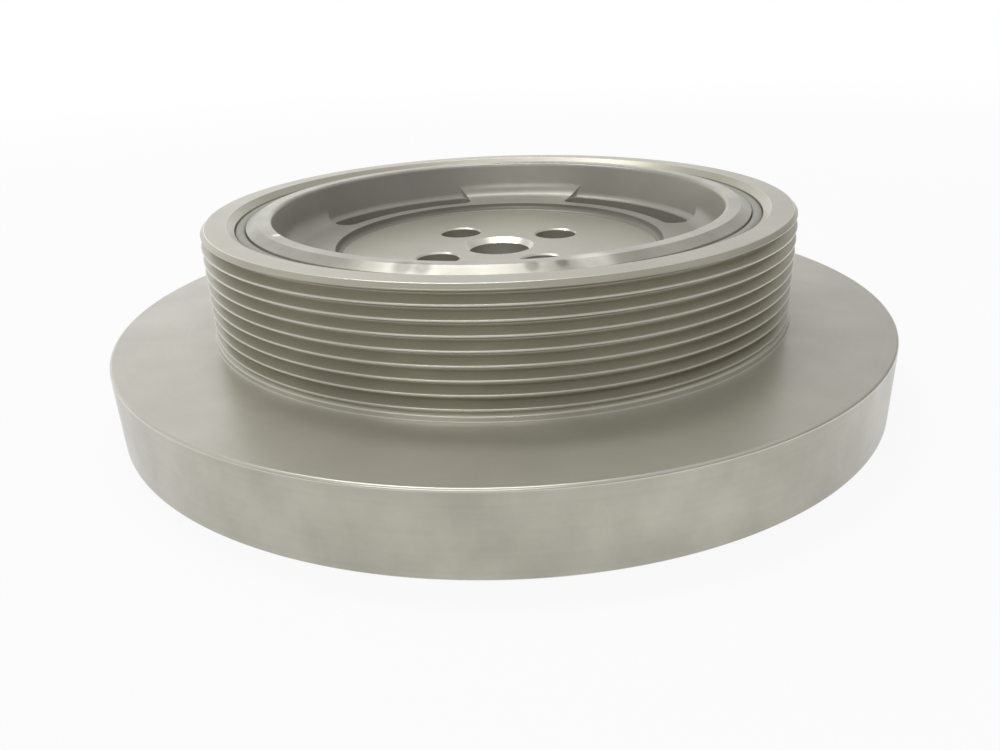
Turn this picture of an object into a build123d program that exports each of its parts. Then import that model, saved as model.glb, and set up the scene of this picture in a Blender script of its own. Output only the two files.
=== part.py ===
"""Harmonic balancer: an iron hub, a bonded rubber ring and an iron inertia ring with a poly-V pulley.

The part lies on its back. Z is the crankshaft axis, and z = 0 is the plane of the disc's back face.
"""
from build123d import *
import math
import os

# Inertia ring: the plain disc (mm)
disc_diameter = 234.2
disc_thickness = 22.0
disc_top_round = 0.7
disc_base_chamfer = 0.6

# Inertia ring: the belt pulley
pulley_height = 32.4
pulley_tip_diameter = 175.7
pulley_face_chamfer = 1.35
pulley_foot_round = 0.8
mouth_bevel_width = 2.1
mouth_bevel_depth = 1.7
ring_back_chamfer = 2.0
pulley_wall = 9.45

# Poly-V grooves, PK section
groove_count = 8
groove_pitch = 3.56
groove_half_angle = 20
groove_root_radius = 0.5
rib_tip_flat = 0.5
first_groove_depth = 2.86

# Rubber ring
rubber_thickness = 3.2
rubber_recess = 1.75
rubber_back_recess = 5.5
rubber_end_round = 0.7

# Hub: rim and dish wall
rim_recess = 0.1
rim_bevel_width = 3.0
rim_bevel_depth = 1.55
rim_inner_round = 1.3
rim_width = 7.2
rim_back_recess = 4.0
rim_back_chamfer = 1.5
wall_draft_width = 2.5
wall_foot_fillet = 6.0

# Hub: web, stepped floor and crank seat
web_top_depth = 11.8
web_thickness = 12.0
floor_recess = 2.5
floor_corner_round = 2.0
seat_diameter = 68.0
seat_height = 2.0
seat_chamfer = 1.0

# Hub: bore, bolt circle and arc slots
bore_diameter = 19.0
bore_lead_width = 1.4
bore_lead_depth = 1.7
bolt_count = 4
bolt_circle_diameter = 45.0
bolt_hole_diameter = 13.0
bolt_hole_chamfer = 0.5
bolt_angle = 34.0
slot_count = 4
slot_width = 8.4
slot_to_floor = 4.4
slot_angle = 37.0
slot_span = 54.5
slot_corner_round = 3.5
slot_lip_width = 2.1
slot_lip_fillet = 2.0
slot_mouth_overlap = 1.3
slot_mouth_corner_round = 4.8

# Heights, worked out from the sizes above
total_height = disc_thickness + pulley_height
rim_top = total_height - rim_recess
rim_bottom = rim_back_recess
web_top = total_height - web_top_depth
web_bottom = web_top - web_thickness
floor_height = web_top - floor_recess
seat_face = web_bottom - seat_height
rubber_top = total_height - rubber_recess
rubber_bottom = rubber_back_recess

# Radii, worked out from the sizes above, from the outside in
disc_radius = disc_diameter / 2
tip_radius = pulley_tip_diameter / 2
ring_bore_radius = tip_radius - pulley_wall
hub_radius = ring_bore_radius - rubber_thickness
rim_mouth_radius = hub_radius - rim_width
wall_foot_radius = rim_mouth_radius - wall_draft_width
slot_outer_radius = wall_foot_radius - slot_lip_width
slot_inner_radius = slot_outer_radius - slot_width
slot_mouth_radius = wall_foot_radius + slot_mouth_overlap
floor_radius = slot_inner_radius - slot_to_floor
seat_radius = seat_diameter / 2
bolt_circle_radius = bolt_circle_diameter / 2
bolt_hole_radius = bolt_hole_diameter / 2
bore_radius = bore_diameter / 2

os.makedirs("parts", exist_ok=True)


def corner(section, radius, height):
    """The vertex of a section that lies nearest to the given radius and height."""
    return section.vertices().sort_by_distance((radius, height))[0]


def slot_outlines(outer_radius, corner_round):
    """The outlines of all the arc slots in plan, from their inner radius out to the one given."""
    with BuildSketch(mode=Mode.PRIVATE) as one_slot:
        with BuildLine():
            outer_arc = CenterArc((0, 0), outer_radius, -slot_span / 2, slot_span)
            inner_arc = CenterArc((0, 0), slot_inner_radius, -slot_span / 2, slot_span)
            Line(inner_arc @ 0, outer_arc @ 0)
            Line(inner_arc @ 1, outer_arc @ 1)
        make_face()
        fillet(one_slot.vertices(), corner_round)
    with BuildSketch(mode=Mode.PRIVATE) as all_slots:
        with PolarLocations(0, slot_count, start_angle=slot_angle):
            add(one_slot.sketch)
    return all_slots.sketch


# One poly-V groove, its origin in the middle of its mouth and its root towards the axis.
groove_half_mouth = (groove_pitch - rib_tip_flat) / 2
groove_slope = math.tan(math.radians(groove_half_angle))
groove_overcut = rib_tip_flat
with BuildSketch(mode=Mode.PRIVATE) as belt_groove:
    with BuildLine():
        Polyline(
            (groove_overcut, groove_half_mouth + groove_overcut * groove_slope),
            (-groove_half_mouth / groove_slope, 0),
            (groove_overcut, -groove_half_mouth - groove_overcut * groove_slope),
            close=True,
        )
    make_face()
    fillet(belt_groove.vertices().sort_by(Axis.X)[0], groove_root_radius)

# Inertia ring: disc and pulley are one casting, turned all over.
with BuildPart() as inertia_ring:
    with BuildSketch(Plane.XZ) as ring_section:
        with BuildLine():
            Polyline(
                (ring_bore_radius, 0),
                (disc_radius, 0),
                (disc_radius, disc_thickness),
                (tip_radius, disc_thickness),
                (tip_radius, total_height),
                (ring_bore_radius + mouth_bevel_width, total_height),
                (ring_bore_radius, total_height - mouth_bevel_depth),
                close=True,
            )
        make_face()
        chamfer(corner(ring_section, ring_bore_radius, 0), ring_back_chamfer)
        chamfer(corner(ring_section, disc_radius, 0), disc_base_chamfer)
        chamfer(corner(ring_section, tip_radius, total_height), pulley_face_chamfer)
        fillet(corner(ring_section, disc_radius, disc_thickness), disc_top_round)
        fillet(corner(ring_section, tip_radius, disc_thickness), pulley_foot_round)
        groove_tops = [total_height - first_groove_depth - groove_pitch * k for k in range(groove_count)]
        with Locations(*[(tip_radius, height) for height in groove_tops]):
            add(belt_groove.sketch, mode=Mode.SUBTRACT)
    revolve(axis=Axis.Z)

# Rubber ring: fills the gap between the hub rim and the ring, with rounded free ends.
with BuildPart() as rubber_ring:
    with BuildSketch(Plane.XZ) as rubber_section:
        with BuildLine():
            Polyline(
                (hub_radius, rubber_bottom),
                (ring_bore_radius, rubber_bottom),
                (ring_bore_radius, rubber_top),
                (hub_radius, rubber_top),
                close=True,
            )
        make_face()
        fillet(rubber_section.vertices(), rubber_end_round)
    revolve(axis=Axis.Z)

# Cores of the arc slots: each slot is narrow through the web and has a wider mouth above it. The
# mouth is bounded by the drafted wall of the dish, so that it takes away the fillet at the foot of
# the wall, leaves it on the lands between the slots, and leaves a narrow lip round the slot.
with BuildPart() as slot_cores:
    with BuildSketch(Plane.XY.offset(web_top)):
        add(slot_outlines(slot_mouth_radius, slot_mouth_corner_round))
    extrude(amount=rim_top - web_top)
    with BuildSketch(Plane.XZ) as dish_section:
        with BuildLine():
            Polyline(
                (bore_radius, web_top),
                (wall_foot_radius, web_top),
                (rim_mouth_radius, rim_top),
                (bore_radius, rim_top),
                close=True,
            )
        make_face()
        fillet(corner(dish_section, wall_foot_radius, web_top), slot_lip_fillet)
    revolve(axis=Axis.Z, mode=Mode.INTERSECT)
    with BuildSketch(Plane.XY.offset(rim_bottom)):
        add(slot_outlines(slot_outer_radius, slot_corner_round))
    extrude(amount=web_top - rim_bottom)

# Hub: rim, dish wall, web, stepped floor and crank seat, turned and drilled.
with BuildPart() as hub:
    with BuildSketch(Plane.XZ) as hub_section:
        with BuildLine():
            Polyline(
                (bore_radius, seat_face),
                (seat_radius, seat_face),
                (seat_radius, web_bottom),
                (wall_foot_radius, web_bottom),
                (rim_mouth_radius, rim_bottom),
                (hub_radius, rim_bottom),
                (hub_radius, rim_top - rim_bevel_depth),
                (hub_radius - rim_bevel_width, rim_top),
                (rim_mouth_radius, rim_top),
                (wall_foot_radius, web_top),
                (floor_radius, web_top),
                (floor_radius, floor_height),
                (bore_radius + bore_lead_width, floor_height),
                (bore_radius, floor_height - bore_lead_depth),
                close=True,
            )
        make_face()
        chamfer(corner(hub_section, seat_radius, seat_face), seat_chamfer)
        chamfer(corner(hub_section, hub_radius, rim_bottom), rim_back_chamfer)
        fillet(corner(hub_section, wall_foot_radius, web_bottom), wall_foot_fillet)
        fillet(corner(hub_section, wall_foot_radius, web_top), wall_foot_fillet)
        fillet(corner(hub_section, rim_mouth_radius, rim_top), rim_inner_round)
        fillet(corner(hub_section, floor_radius, floor_height), floor_corner_round)
    revolve(axis=Axis.Z)
    with Locations(Plane.XY.offset(floor_height)):
        with PolarLocations(bolt_circle_radius, bolt_count, start_angle=bolt_angle):
            CounterSinkHole(
                radius=bolt_hole_radius,
                counter_sink_radius=bolt_hole_radius + bolt_hole_chamfer,
                depth=floor_height - seat_face,
            )
    add(slot_cores.part, mode=Mode.SUBTRACT)

hub.part.label = "hub"
rubber_ring.part.label = "rubber_ring"
inertia_ring.part.label = "inertia_ring"
export_step(hub.part, "parts/hub.step")
export_step(rubber_ring.part, "parts/rubber_ring.step")
export_step(inertia_ring.part, "parts/inertia_ring.step")
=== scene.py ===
"""Harmonic balancer: phosphated iron hub and pulley ring, bonded by a rubber ring, on white paper.

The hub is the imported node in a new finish. The pulley ring and the rubber ring are turned again from
their sections, with the small rounds that their edges have.
"""
import math

import bpy
import numpy as np
from mathutils import Matrix, Vector


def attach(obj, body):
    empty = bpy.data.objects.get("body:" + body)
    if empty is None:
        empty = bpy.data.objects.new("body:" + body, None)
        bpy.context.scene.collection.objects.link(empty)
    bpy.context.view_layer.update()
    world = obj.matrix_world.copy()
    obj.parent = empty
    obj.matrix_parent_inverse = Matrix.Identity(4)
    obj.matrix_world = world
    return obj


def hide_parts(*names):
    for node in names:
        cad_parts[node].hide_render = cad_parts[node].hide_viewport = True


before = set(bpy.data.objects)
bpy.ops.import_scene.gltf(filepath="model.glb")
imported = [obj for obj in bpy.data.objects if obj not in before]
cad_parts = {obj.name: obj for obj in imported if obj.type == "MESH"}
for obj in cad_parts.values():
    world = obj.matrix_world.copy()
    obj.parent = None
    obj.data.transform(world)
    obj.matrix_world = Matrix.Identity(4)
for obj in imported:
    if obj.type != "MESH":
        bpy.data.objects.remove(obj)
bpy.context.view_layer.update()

scene = bpy.context.scene
MM = 0.001

# Camera: where it stands from the centre of the pulley's free face, and how it looks down and leans.
CAMERA_FROM_FACE = Vector((-1.35, -257.33, 52.24)) * MM
CAMERA_DOWN = math.radians(23.334)
CAMERA_LEAN = math.radians(-2.2225)
CAMERA_LENS = 30.08
CAMERA_SENSOR = 36.0

# Pulley ring (mm): the sizes of its solid
TOTAL_HEIGHT = 54.4
DISC_RADIUS = 117.1
DISC_THICKNESS = 22.0
DISC_ROUND = 0.7
BASE_CHAMFER = 0.6
BACK_CHAMFER = 2.0
TIP_RADIUS = 87.85
BORE_RADIUS = 78.4
FACE_CHAMFER = 1.35
BEVEL_WIDTH = 2.1
BEVEL_DEPTH = 1.7
GROOVE_COUNT = 8
GROOVE_PITCH = 3.56
GROOVE_SLOPE = math.tan(math.radians(20))
GROOVE_ROOT_ROUND = 0.5
FIRST_GROOVE = 2.86
RIB_TIP_FLAT = 0.5

# Pulley ring (mm): what its solid leaves out, which is a low collar at the foot of the ribs, a shallow
# relief above it, and the rounds of the edges
COLLAR_RADIUS = 88.2
COLLAR_TOP = 23.4
COLLAR_FOOT_ROUND = 0.35
RELIEF_RADIUS = 87.0
RELIEF_HEIGHT = 24.2
RELIEF_ROUND = 0.12
RIB_TIP_ROUND = 0.28
FACE_EDGE_ROUND = 0.35
EDGE_BREAK = 0.2

# How far the coat is rubbed off the ring's edges, from 0 to 1
DISC_EDGE_WEAR = 0.5
RIB_WEAR = 0.45
FACE_EDGE_WEAR = 0.9
BEVEL_EDGE_WEAR = 0.5

# Rubber ring (mm)
HUB_RADIUS = 75.2
RUBBER_TOP = 52.65
RUBBER_BOTTOM = 5.5
RUBBER_ROUND = 1.35

# Hub (mm): the step of its floor with the round in its corner, and the rim's inner round, which is lit
# from a little above the height of its centre (radius, height)
FLOOR_HEIGHT = 40.1
FLOOR_RADIUS = 50.7
FLOOR_CORNER_RADIUS = 48.9
RIM_RADIUS = 68.1
RIM_ROUND_CENTRE = (69.05, 53.0)
RIM_ROUND_FROM = 0.27

# Hub (mm): its bore and bolt holes, and how bright the edge of each is polished, from 0 to 1
BORE_LEAD_RADIUS = 10.9
BORE_LEAD_DEPTH = 1.7
BORE_POLISH = 1.0
BOLT_CIRCLE_RADIUS = 22.5
BOLT_ANGLES = (34, 124, 214, 304)
BOLT_MOUTH_RADIUS = 7.0
BOLT_CHAMFER = 0.5
BOLT_POLISH = 0.55

# How finely a turned piece is cut: round the axis, along the arc of a corner, and the guard's place (mm)
SLICES = 392
ARC_POINTS = 5
GUARD = 0.04

# Phosphate coat: the sizes of its patterns (mm) and how far each one moves the tone; the share of metal;
# the bump (mm); what tone and wear add to the roughness; the oil on top; the colour of bare spots; the
# painted shade in holes
CRYSTAL_SIZE, CRYSTAL_GAIN = 1.8, 0.1
CLOUD_SIZE, CLOUD_GAIN, CLOUD_OFFSET = 20, 1.6, -0.35
TOOL_LINE_SIZE, TOOL_LINE_GAIN, TOOL_LINE_OFFSET = 1.2, 0.2, -0.1
COAT_METAL = 0.5
COAT_BUMP, COAT_BUMP_DEPTH = 0.2, 0.02
ROUGHNESS_BY_TONE = -0.06
ROUGHNESS_BY_WEAR = -0.02
OIL_WEIGHT = 0.5
OIL_ROUGHNESS = 0.28
WORN_COLOUR = "F4F2E6"
# Painted shade: the darker colour inside the holes
HOLE_SHADE_COLOUR = "ACAA9E"

# How far a rolled edge leans to the face, and the share of a mark's reach that has its full strength
ROLLED_LEAN = 0.7
MARK_CORE = 0.3

# Zones of the coat, outwards: border (mm), colour where it is thin and where it is thick, and roughness
HUB_ZONES = (
    (0, "BEBBAC", "CAC7B6", 0.37),
    # Painted shade: the corner of the floor's step, from its round out to the riser, is coloured darker for
    # the shade in it
    (FLOOR_CORNER_RADIUS, "86847A", "929086", 0.52),
    (FLOOR_RADIUS, "A6A499", "B4B2A7", 0.48),
    (RIM_RADIUS, "98958A", "CECBBE", 0.36))
RING_ZONES = (
    (0, "B7B3A2", "C5C1B0", 0.36),
    # Painted light: the disc's top and the collar, outside the ribs, are coloured lighter for the light that
    # falls on them from the front
    (TIP_RADIUS, "C0BDB0", "D2CFC2", 0.36),
    (DISC_RADIUS - DISC_ROUND, "A4A193", "C8C5B7", 0.36))

# Marks on the rim, and painted glints: where (degrees, radius), how far each reaches (mm), and its colour and
# strength
# A light rubbed patch, which also paints in the tail of the lamp's highlight on the rim's bevel
RUB_AND_PAINTED_SHEEN = "F6F4E8", 1.6
# Painted glint: a near-white spot that paints in a highlight of the lamp on the rim's edge
PAINTED_GLINT = "FFFDF2", 4.0
SMUDGED = "504F49", 1.2
RIM_MARKS_AND_GLINTS = (
    (-73, 73.6, 7.0, RUB_AND_PAINTED_SHEEN),
    (-108.2, 73.0, 3.8, SMUDGED),
    (-104.5, 73.2, 3.4, SMUDGED),
    (-84.6, 73.0, 2.6, SMUDGED),
    (-79, 72.8, 2.2, SMUDGED),
    # Two painted glints: highlights painted on the rim's edge
    (-149.4, 69.4, 1.8, PAINTED_GLINT),
    (168.8, 74.6, 1.6, PAINTED_GLINT))

# Rubber: its mould skin (mm), its colours and its roughness
SKIN_SIZE = 1.2
SKIN_BUMP, SKIN_BUMP_DEPTH = 0.4, 0.03
RUBBER_COLOURS = "8E8E86", "B4B4AA"
RUBBER_ROUGHNESS = 0.45


def linear(hex_colour):
    """An sRGB hex colour as linear RGBA: the sRGB curve undone on each channel."""
    channels = [int(hex_colour[i:i + 2], 16) / 255 for i in (0, 2, 4)]
    return tuple(c / 12.92 if c <= 0.04045 else ((c + 0.055) / 1.055) ** 2.4 for c in channels) + (1.0,)


def node(tree, kind, inputs=None, **settings):
    """Adds one shader node: an input, by name or number, is a value or a socket; settings are properties."""
    made = tree.nodes.new("ShaderNode" + kind)
    for name, value in settings.items():
        setattr(made, name, value)
    for key, value in (inputs or {}).items():
        if isinstance(value, bpy.types.NodeSocket):
            tree.links.new(value, made.inputs[key])
        else:
            made.inputs[key].default_value = value
    return made


# Shapes

def unit(directions):
    """Each row scaled to length one."""
    return directions / np.linalg.norm(directions, axis=-1, keepdims=True)


def rounded(corners):
    """A closed section with rounded corners, from rows of radius, height, rounding and wear.

    The arc of a corner starts and ends rounding / tan(half the corner's angle) away from it, and its
    centre lies on the bisector. A guard point beyond each end keeps the flats flat under smooth shading.
    Returns the points and, for each, its wear, which is zero off the arcs.
    """
    at, rounding, wear = corners[:, :2], corners[:, 2:3], corners[:, 3]
    back = unit(np.roll(at, 1, 0) - at)
    ahead = unit(np.roll(at, -1, 0) - at)
    half = np.arccos(np.clip((back * ahead).sum(1, keepdims=True), -1, 1)) / 2
    reach = rounding / np.tan(half)
    centre = at + unit(back + ahead) * rounding / np.sin(half)
    first = (at + back * reach - centre)[:, None]
    last = (at + ahead * reach - centre)[:, None]
    share = np.linspace(0, 1, ARC_POINTS)[None, :, None]
    sweep = math.pi - 2 * half[:, None]
    spoke = (first * np.sin((1 - share) * sweep) + last * np.sin(share * sweep)) / np.sin(sweep)
    arc = centre[:, None] + spoke
    guards = [(at + side * (reach + GUARD))[:, None] for side in (back, ahead)]
    points = np.concatenate([guards[0], arc, guards[1]], 1)
    on_arc = np.r_[0, np.ones(ARC_POINTS), 0]
    return points.reshape(-1, 2), (wear[:, None] * on_arc).reshape(-1)


def turned(name, corners):
    """A body of revolution about Z: the section's point (r, h) at turn t is (r cos t, r sin t, h).

    The section runs anticlockwise in (r, h), so that the faces point outwards.
    """
    section, wear = rounded(np.array(corners, float))
    count = len(section)
    turns = np.arange(SLICES) * (2 * math.pi / SLICES)
    radius, height = section.T[:, :, None] * MM
    place = np.stack(np.broadcast_arrays(radius * np.cos(turns), radius * np.sin(turns), height), -1)
    row, column = np.meshgrid(np.arange(count), np.arange(SLICES), indexing="ij")
    row_on, column_on = (row + 1) % count, (column + 1) % SLICES
    quads = np.stack([row * SLICES + column, row * SLICES + column_on,
                      row_on * SLICES + column_on, row_on * SLICES + column], -1).reshape(-1)
    mesh = bpy.data.meshes.new(name)
    mesh.vertices.add(count * SLICES)
    mesh.vertices.foreach_set("co", place.reshape(-1))
    mesh.loops.add(len(quads))
    mesh.loops.foreach_set("vertex_index", quads)
    mesh.polygons.add(len(quads) // 4)
    mesh.polygons.foreach_set("loop_start", np.arange(0, len(quads), 4))
    mesh.update(calc_edges=True)
    mesh.polygons.foreach_set("use_smooth", np.ones(len(quads) // 4, bool))
    mesh.attributes.new("wear", "FLOAT", "POINT").data.foreach_set("value", np.repeat(wear, SLICES))
    mesh.validate()
    piece = bpy.data.objects.new(name, mesh)
    scene.collection.objects.link(piece)
    return piece


def ring_corners():
    """The pulley ring's section, from its bore at the back, round the disc, up the ribs and over the face.

    A low collar stands at the foot of the ribs, with a shallow relief between it and the last rib.
    """
    half_mouth = (GROOVE_PITCH - RIB_TIP_FLAT) / 2
    grooves = [TOTAL_HEIGHT - FIRST_GROOVE - GROOVE_PITCH * k for k in range(GROOVE_COUNT)]
    corners = [
        (BORE_RADIUS, BACK_CHAMFER, EDGE_BREAK, 0),
        (BORE_RADIUS + BACK_CHAMFER, 0, EDGE_BREAK, 0),
        (DISC_RADIUS - BASE_CHAMFER, 0, EDGE_BREAK, 0),
        (DISC_RADIUS, BASE_CHAMFER, EDGE_BREAK, 0),
        (DISC_RADIUS, DISC_THICKNESS, DISC_ROUND, DISC_EDGE_WEAR),
        (COLLAR_RADIUS, DISC_THICKNESS, COLLAR_FOOT_ROUND, 0),
        (COLLAR_RADIUS, COLLAR_TOP, RIB_TIP_ROUND, RIB_WEAR),
        (RELIEF_RADIUS, RELIEF_HEIGHT, RELIEF_ROUND, 0),
        (TIP_RADIUS, grooves[-1] - half_mouth - RIB_TIP_FLAT, RIB_TIP_ROUND, RIB_WEAR),
    ]
    for middle in reversed(grooves):
        topmost = middle == grooves[0]
        upper = min(middle + half_mouth, TOTAL_HEIGHT - FACE_CHAMFER)
        corners += [
            (TIP_RADIUS, middle - half_mouth, RIB_TIP_ROUND, RIB_WEAR),
            (TIP_RADIUS - half_mouth / GROOVE_SLOPE, middle, GROOVE_ROOT_ROUND, 0),
            (TIP_RADIUS, upper, RIB_TIP_ROUND, 0 if topmost else RIB_WEAR),
        ]
    return corners + [
        (TIP_RADIUS - FACE_CHAMFER, TOTAL_HEIGHT, FACE_EDGE_ROUND, FACE_EDGE_WEAR),
        (BORE_RADIUS + BEVEL_WIDTH, TOTAL_HEIGHT, EDGE_BREAK, BEVEL_EDGE_WEAR),
        (BORE_RADIUS, TOTAL_HEIGHT - BEVEL_DEPTH, EDGE_BREAK, 0),
    ]


def rubber_corners():
    """The rubber's section: a tall strip with rounded free ends."""
    return [(radius, height, RUBBER_ROUND, 0) for radius, height in (
        (HUB_RADIUS, RUBBER_BOTTOM), (BORE_RADIUS, RUBBER_BOTTOM),
        (BORE_RADIUS, RUBBER_TOP), (HUB_RADIUS, RUBBER_TOP))]


def shown_smooth(piece, sharp_angle=math.radians(20)):
    """Joins a node's loose triangles for shading: rounds are smooth, corners crisp and flats flat."""
    piece.data.polygons.foreach_set("use_smooth", np.ones(len(piece.data.polygons), bool))
    weld = piece.modifiers.new("weld", "WELD")
    weld.merge_threshold = 0.001 * MM
    split = piece.modifiers.new("corners", "EDGE_SPLIT")
    split.split_angle = sharp_angle
    flats = piece.modifiers.new("flats", "WEIGHTED_NORMAL")
    flats.mode = "FACE_AREA_WITH_ANGLE"
    flats.keep_sharp = True


# Finishes

def new_finish(name):
    """A material of that name: itself, its node tree and its shader."""
    material = bpy.data.materials.new(name)
    material.use_nodes = True
    return material, material.node_tree, material.node_tree.nodes["Principled BSDF"]


def coat_tone(tree, place, radius, height):
    """How thick the coat lies, from 0 to 1: soft clouds, with some crystal and some tool lines."""
    # Crystals of the coat: tens of microns across, drawn at 1.8 mm so that they show
    crystals = node(tree, "TexNoise", {
        "Vector": place, "Scale": 1 / (CRYSTAL_SIZE * MM), "Detail": 1.0, "Roughness": 0.5}).outputs["Fac"]
    # Clouds where the coat lies thicker, 20 mm across with soft edges
    clouds = node(tree, "TexNoise", {
        "Vector": place, "Scale": 1 / (CLOUD_SIZE * MM), "Detail": 4.0, "Roughness": 0.55}).outputs["Fac"]
    # Tool lines: 0.2 mm apart, drawn 1.2 mm apart, round the flats and walls, where radius plus height grows
    across = node(tree, "Math", {0: radius, 1: height}, operation="ADD").outputs[0]
    lines = node(tree, "TexNoise", {
        "W": across, "Scale": 1 / (TOOL_LINE_SIZE * MM), "Detail": 1.0, "Roughness": 0.5},
        noise_dimensions="1D").outputs["Fac"]
    rings = node(tree, "Math", {0: lines, 1: TOOL_LINE_GAIN, 2: TOOL_LINE_OFFSET},
                 operation="MULTIPLY_ADD").outputs[0]
    tone = node(tree, "Math", {0: clouds, 1: CLOUD_GAIN, 2: CLOUD_OFFSET},
                operation="MULTIPLY_ADD").outputs[0]
    tone = node(tree, "Math", {0: crystals, 1: CRYSTAL_GAIN, 2: tone}, operation="MULTIPLY_ADD").outputs[0]
    return node(tree, "Math", {0: tone, 1: rings}, operation="ADD", use_clamp=True).outputs[0]


def coat_of_zones(tree, radius, zones):
    """The thin coat's colour, the thick coat's colour and the roughness, of the zone that radius is in."""
    (_, thin, thick, rough), *outer_zones = zones
    coat = [linear(thin), linear(thick), (rough,) * 3 + (1.0,)]
    for border, thin, thick, rough in outer_zones:
        outside = node(tree, "Math", {0: radius, 1: border * MM}, operation="GREATER_THAN").outputs[0]
        here = linear(thin), linear(thick), (rough,) * 3 + (1.0,)
        coat = [node(tree, "MixRGB", {0: outside, 1: inner, 2: outer}).outputs[0]
                for inner, outer in zip(coat, here)]
    return coat


def distance_from(tree, flat_place, degrees, at_radius):
    """The distance in plan from the spot at an angle and a radius in mm."""
    turn = math.radians(degrees)
    spot = (at_radius * math.cos(turn) * MM, at_radius * math.sin(turn) * MM, 0)
    return node(tree, "VectorMath", {0: flat_place, 1: spot}, operation="DISTANCE").outputs["Value"]


def hole_masks(tree, flat_place, height, mouths):
    """How far the edge is rolled over, and where shade is painted inside each hole, over all the holes."""
    rolled = painted_hole_shade = 0.0
    for degrees, at_radius, own_radius, low, polish in mouths:
        away = distance_from(tree, flat_place, degrees, at_radius)
        close = node(tree, "Math", {0: away, 1: own_radius * MM}, operation="LESS_THAN").outputs[0]
        above = node(tree, "Math", {0: height, 1: low * MM}, operation="GREATER_THAN").outputs[0]
        above = node(tree, "Math", {0: above, 1: polish}, operation="MULTIPLY").outputs[0]
        rolled = node(tree, "Math", {0: close, 1: above, 2: rolled}, operation="MULTIPLY_ADD").outputs[0]
        painted_hole_shade = node(tree, "Math", {0: close, 1: painted_hole_shade}, operation="ADD").outputs[0]
    return rolled, painted_hole_shade


def marked(tree, colour, flat_place, tone, marks_and_glints):
    """The colour with each mark or painted glint over it, which is strongest where the coat is thick."""
    for degrees, at_radius, reach, (mark_colour, strength) in marks_and_glints:
        away = distance_from(tree, flat_place, degrees, at_radius)
        mark = node(tree, "MapRange", {
            0: away, 1: reach * MARK_CORE * MM, 2: reach * MM, 3: strength, 4: 0.0},
            interpolation_type="SMOOTHSTEP").outputs[0]
        mark = node(tree, "Math", {0: mark, 1: tone}, operation="MULTIPLY", use_clamp=True).outputs[0]
        colour = node(tree, "MixRGB", {0: mark, 1: colour, 2: linear(mark_colour)}).outputs[0]
    return colour


def hub_facing(tree, facing, place, flat_place, radius, height, rolled):
    """Which way the hub faces: rolled edges lean to its face, and the rim's round is lit as a true round."""
    up = node(tree, "Math", {0: rolled, 1: ROLLED_LEAN}, operation="MULTIPLY").outputs[0]
    lean = node(tree, "CombineXYZ", {"Z": up}).outputs[0]
    leaned = node(tree, "VectorMath", {0: facing, 1: lean}, operation="ADD").outputs[0]
    round_radius, round_height = (size * MM for size in RIM_ROUND_CENTRE)
    share = node(tree, "Math", {0: round_radius, 1: radius}, operation="DIVIDE").outputs[0]
    centre = node(tree, "VectorMath", {0: flat_place, "Scale": share}, operation="SCALE").outputs[0]
    centre = node(tree, "VectorMath", {0: centre, 1: (0, 0, round_height)}, operation="ADD").outputs[0]
    outwards = node(tree, "VectorMath", {0: place, 1: centre}, operation="SUBTRACT").outputs[0]
    outwards = node(tree, "VectorMath", {0: outwards}, operation="NORMALIZE").outputs[0]
    inside = node(tree, "Math", {0: radius, 1: round_radius}, operation="LESS_THAN").outputs[0]
    above = node(tree, "Math", {0: height, 1: round_height + RIM_ROUND_FROM * MM},
                 operation="GREATER_THAN").outputs[0]
    on_round = node(tree, "Math", {0: inside, 1: above}, operation="MULTIPLY").outputs[0]
    facing = node(tree, "Mix", {0: on_round, 4: leaned, 5: outwards}, data_type="VECTOR").outputs[1]
    return node(tree, "VectorMath", {0: facing}, operation="NORMALIZE").outputs[0]


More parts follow.
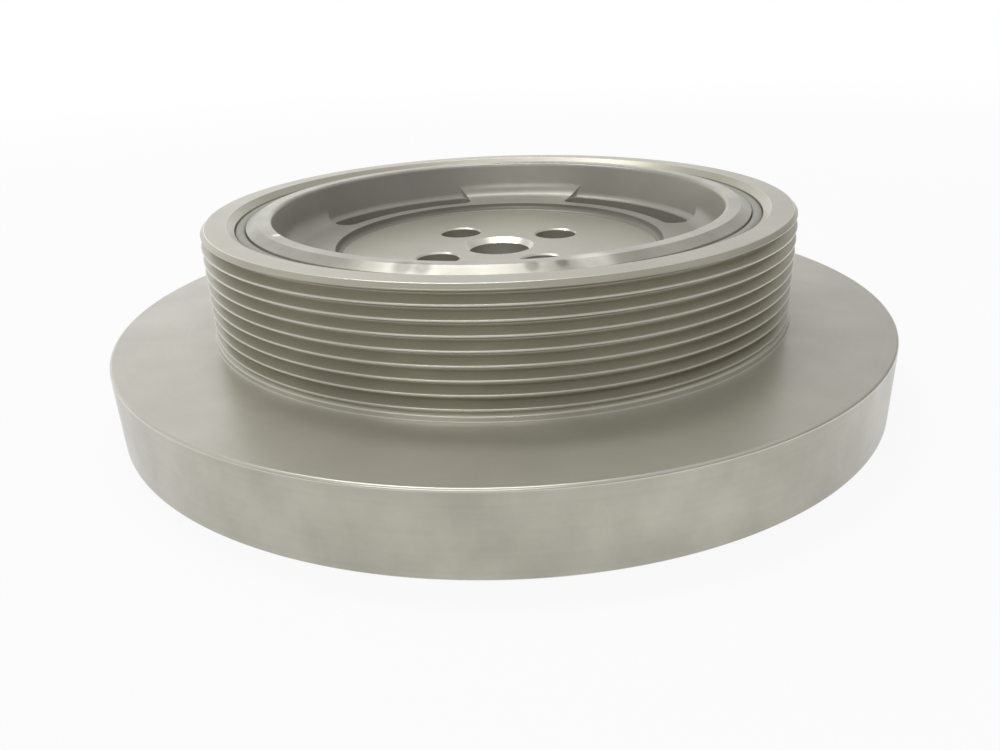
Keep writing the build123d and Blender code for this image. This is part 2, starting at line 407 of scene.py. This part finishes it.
def phosphated_iron(name, zones, mouths=(), marks_and_glints=()):
    """Cast iron, turned all over, zinc phosphated and oiled.

    The coat is matt grey crystal over metal, so it is part metal and part plain grey: satin, with soft
    clouds where the crystals lie thicker, faint rings from the tool, and the oil's gloss at a low angle.
    A mouth is the edge of a hole: (degrees, radius, its own radius, the height it starts at, polish). The
    edge is bright and rolled over, and shade is painted into the hole, darkening its colour. A mark or
    painted glint fades out to its reach. Only the hub has mouths, and with them the round of its rim.
    """
    material, tree, shader = new_finish(name)
    place = node(tree, "TexCoord").outputs["Object"]
    flat_place = node(tree, "VectorMath", {0: place, 1: (1, 1, 0)}, operation="MULTIPLY").outputs[0]
    radius = node(tree, "VectorMath", {0: flat_place}, operation="LENGTH").outputs["Value"]
    height = node(tree, "SeparateXYZ", {0: place}).outputs["Z"]
    worn = node(tree, "Attribute", attribute_name="wear").outputs["Fac"]

    tone = coat_tone(tree, place, radius, height)
    thin, thick, rough = coat_of_zones(tree, radius, zones)
    rolled, painted_hole_shade = hole_masks(tree, flat_place, height, mouths)
    worn = node(tree, "Math", {0: worn, 1: rolled}, operation="MAXIMUM").outputs[0]
    colour = node(tree, "MixRGB", {0: tone, 1: thin, 2: thick}).outputs[0]
    # Painted shade: inside the holes the colour is darkened
    colour = node(tree, "MixRGB", {0: painted_hole_shade, 1: colour, 2: linear(HOLE_SHADE_COLOUR)}).outputs[0]
    colour = node(tree, "MixRGB", {0: worn, 1: colour, 2: linear(WORN_COLOUR)}).outputs[0]
    colour = marked(tree, colour, flat_place, tone, marks_and_glints)
    metal = node(tree, "Math", {0: worn, 1: 1 - COAT_METAL, 2: COAT_METAL},
                 operation="MULTIPLY_ADD").outputs[0]
    rough = node(tree, "Math", {0: tone, 1: ROUGHNESS_BY_TONE, 2: rough}, operation="MULTIPLY_ADD").outputs[0]
    rough = node(tree, "Math", {0: worn, 1: ROUGHNESS_BY_WEAR, 2: rough}, operation="MULTIPLY_ADD").outputs[0]
    facing = node(tree, "Bump", {
        "Strength": COAT_BUMP, "Distance": COAT_BUMP_DEPTH * MM, "Height": tone}).outputs[0]
    if mouths:
        facing = hub_facing(tree, facing, place, flat_place, radius, height, rolled)
    for socket, value in (("Base Color", colour), ("Metallic", metal), ("Roughness", rough),
                          ("Normal", facing), ("Coat Normal", facing)):
        tree.links.new(value, shader.inputs[socket])
    shader.inputs["Coat Weight"].default_value = OIL_WEIGHT
    shader.inputs["Coat Roughness"].default_value = OIL_ROUGHNESS
    return material


def coated_rubber(name):
    """Moulded EPDM rubber, greyed by the coat's overspray: matt, with a fine mould skin."""
    material, tree, shader = new_finish(name)
    place = node(tree, "TexCoord").outputs["Object"]
    # Mould skin: tenths of a millimetre across, drawn at 1.2 mm so that it shows
    skin = node(tree, "TexNoise", {
        "Vector": place, "Scale": 1 / (SKIN_SIZE * MM), "Detail": 3.0, "Roughness": 0.6}).outputs["Fac"]
    dark, light = (linear(colour) for colour in RUBBER_COLOURS)
    colour = node(tree, "MixRGB", {0: skin, 1: dark, 2: light}).outputs[0]
    tree.links.new(colour, shader.inputs["Base Color"])
    shader.inputs["Roughness"].default_value = RUBBER_ROUGHNESS
    bump = node(tree, "Bump", {
        "Strength": SKIN_BUMP, "Distance": SKIN_BUMP_DEPTH * MM, "Height": skin}).outputs[0]
    tree.links.new(bump, shader.inputs["Normal"])
    return material


def dressed(piece, material):
    """The piece, with that one material."""
    piece.data.materials.clear()
    piece.data.materials.append(material)
    return piece


bore_mouth = (0, 0, BORE_LEAD_RADIUS, FLOOR_HEIGHT - BORE_LEAD_DEPTH, BORE_POLISH)
bolt_mouths = [(turn, BOLT_CIRCLE_RADIUS, BOLT_MOUTH_RADIUS, FLOOR_HEIGHT - BOLT_CHAMFER, BOLT_POLISH)
               for turn in BOLT_ANGLES]
hub_iron = phosphated_iron("phosphated_iron_hub", HUB_ZONES, [bore_mouth] + bolt_mouths, RIM_MARKS_AND_GLINTS)
shown_smooth(dressed(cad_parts["hub"], hub_iron))

ring_iron = phosphated_iron("phosphated_iron_ring", RING_ZONES)
pulley_ring = dressed(turned("pulley_ring", ring_corners()), ring_iron)
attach(pulley_ring, "root")
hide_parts("inertia_ring")

rubber = dressed(turned("damper_rubber", rubber_corners()), coated_rubber("overspray_rubber"))
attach(rubber, "root")
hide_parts("rubber_ring")

# Ground: white paper, shown white to the camera and in reflections but for a part that keeps the shadow
PAPER_HALF = 12.0
PAPER_COLOUR = "F2F2F2"
PAPER_SHADOW_SHARE = 0.1
PAPER_SHADOW_REACH = (0.3, 1.2)
PAPER_MIRRORED_SHARE = 0.95
paper_corners = [(x * PAPER_HALF, y * PAPER_HALF, 0) for x, y in ((-1, -1), (1, -1), (1, 1), (-1, 1))]
paper_mesh = bpy.data.meshes.new("paper")
paper_mesh.from_pydata(paper_corners, [], [(0, 1, 2, 3)])
paper = bpy.data.objects.new("paper", paper_mesh)
scene.collection.objects.link(paper)
paper_finish = bpy.data.materials.new("white_paper")
paper_finish.use_nodes = True
tree = paper_finish.node_tree
tree.nodes.clear()
rays = node(tree, "LightPath").outputs
mirrored = node(tree, "Math", {0: rays["Is Glossy Ray"], 1: rays["Is Transmission Ray"]},
                operation="MAXIMUM").outputs[0]
seen = node(tree, "Math", {0: mirrored, 1: PAPER_MIRRORED_SHARE, 2: rays["Is Camera Ray"]},
            operation="MULTIPLY_ADD").outputs[0]
paper_place = node(tree, "TexCoord").outputs["Object"]
away = node(tree, "VectorMath", {0: paper_place}, operation="LENGTH").outputs["Value"]
near, far = PAPER_SHADOW_REACH
bright = node(tree, "MapRange", {0: away, 1: near, 2: far, 3: 1 - PAPER_SHADOW_SHARE, 4: 1.0}).outputs[0]
share = node(tree, "Math", {0: seen, 1: bright}, operation="MULTIPLY").outputs[0]
matt = node(tree, "BsdfDiffuse", {"Color": linear(PAPER_COLOUR)}).outputs[0]
glow = node(tree, "Emission", {"Color": (1, 1, 1, 1), "Strength": 1.0}).outputs[0]
both = node(tree, "MixShader", {0: share, 1: matt, 2: glow}).outputs[0]
node(tree, "OutputMaterial", {"Surface": both})
paper.data.materials.append(paper_finish)

# Room: a white backdrop behind the table, lowest on the left, which fades upwards; a grey ceiling; a
# pale wall on the left; and the unlit side in front. The brightest of them counts in each direction.
ROOM_DARK = 0.2
BACKDROP = Vector((-0.3, 0.77, -0.563))
BACKDROP_COSINES = (0.05, 0.7)
BACKDROP_GREY = 1.0
CEILING_HEIGHTS = (0.25, 0.7)
CEILING_GREY = 0.5
LEFT_WALL = Vector((-0.87, 0, 0.5))
LEFT_WALL_COSINES = (0.85, 1.0)
LEFT_WALL_GREY = 0.8
world = bpy.data.worlds.new("studio")
scene.world = world
world.use_nodes = True
tree = world.node_tree
background = tree.nodes["Background"]
towards = node(tree, "TexCoord").outputs["Generated"]
upwards = node(tree, "SeparateXYZ", {0: towards}).outputs["Z"]
behind, leftwards = (
    node(tree, "VectorMath", {0: towards, 1: middle}, operation="DOT_PRODUCT").outputs["Value"]
    for middle in (BACKDROP, LEFT_WALL))
room = ROOM_DARK
for along, (low, high), grey in ((behind, BACKDROP_COSINES, BACKDROP_GREY),
                                 (upwards, CEILING_HEIGHTS, CEILING_GREY),
                                 (leftwards, LEFT_WALL_COSINES, LEFT_WALL_GREY)):
    part = node(tree, "MapRange", {0: along, 1: low, 2: high, 3: ROOM_DARK, 4: grey},
                interpolation_type="SMOOTHSTEP").outputs[0]
    room = node(tree, "Math", {0: room, 1: part}, operation="MAXIMUM").outputs[0]
# The camera sees the world itself as plain white
seen = node(tree, "LightPath").outputs["Is Camera Ray"]
shown = node(tree, "Math", {0: room, 1: seen}, operation="MAXIMUM").outputs[0]
tree.links.new(shown, background.inputs["Color"])
background.inputs["Strength"].default_value = 1.0

# Lamps: a small softbox on the ceiling behind the object and a long narrow one in front
LAMPS = {
    "softbox": {"place": Vector((-0.2, 0.36, 1.1)), "size": (0.64, 0.18), "radiance": 8.5},
    "strip": {"place": Vector((-0.45, -1.1, 0.84)), "size": (1.2, 0.12), "radiance": 10.0},
}
for name, made in LAMPS.items():
    lamp = bpy.data.lights.new(name, "AREA")
    lamp.shape = "RECTANGLE"
    lamp.size, lamp.size_y = made["size"]
    lamp.energy = made["radiance"] * math.pi * lamp.size * lamp.size_y
    hung = bpy.data.objects.new(name, lamp)
    scene.collection.objects.link(hung)
    aim = Vector((made["place"].x, 0, TOTAL_HEIGHT * MM)) - made["place"]
    hung.matrix_world = Matrix.Translation(made["place"]) @ aim.to_track_quat("-Z", "Y").to_matrix().to_4x4()

# Camera
camera_data = bpy.data.cameras.new("camera")
camera_data.lens = CAMERA_LENS
camera_data.sensor_width = CAMERA_SENSOR
camera = bpy.data.objects.new("camera", camera_data)
scene.collection.objects.link(camera)
face_centre = Vector((0, 0, TOTAL_HEIGHT * MM))
turn = Matrix.Rotation(math.pi / 2 - CAMERA_DOWN, 4, "X") @ Matrix.Rotation(CAMERA_LEAN, 4, "Z")
camera.matrix_world = Matrix.Translation(face_centre + CAMERA_FROM_FACE) @ turn
scene.camera = camera

scene.view_settings.view_transform = "Standard"
